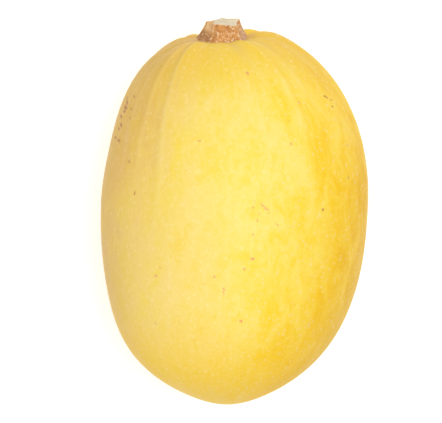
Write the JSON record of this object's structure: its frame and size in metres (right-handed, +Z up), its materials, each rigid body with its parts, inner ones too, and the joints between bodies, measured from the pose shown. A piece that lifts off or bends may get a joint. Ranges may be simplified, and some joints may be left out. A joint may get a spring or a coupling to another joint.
{
  "type": "spaghetti squash",
  "caption": "Whole ripe spaghetti squash lying on its side: smooth butter-yellow barrel-shaped fruit, low ribs at the shoulder, corky cut stalk stub.",
  "frame": {"origin": "on the surface the squash rests on, under the middle of its bounding box", "axes": "+Z up; the long axis lies along Y with the cut stalk at +Y and the blossom end at -Y; +X is the deeper golden flank"},
  "size_m": [0.1394, 0.2036, 0.1369],
  "materials": {
    "rind": "waxy satin butter-yellow rind, deeper gold on one flank, with fine pale flecks and a few brown field marks",
    "stalk_cork": "dry corky tan stalk with pale warts, and a cream fibrous cut face"
  },
  "bodies": {
    "root": {"fruit": "rind", "stem": "stalk_cork"}
  },
  "joints": []
}
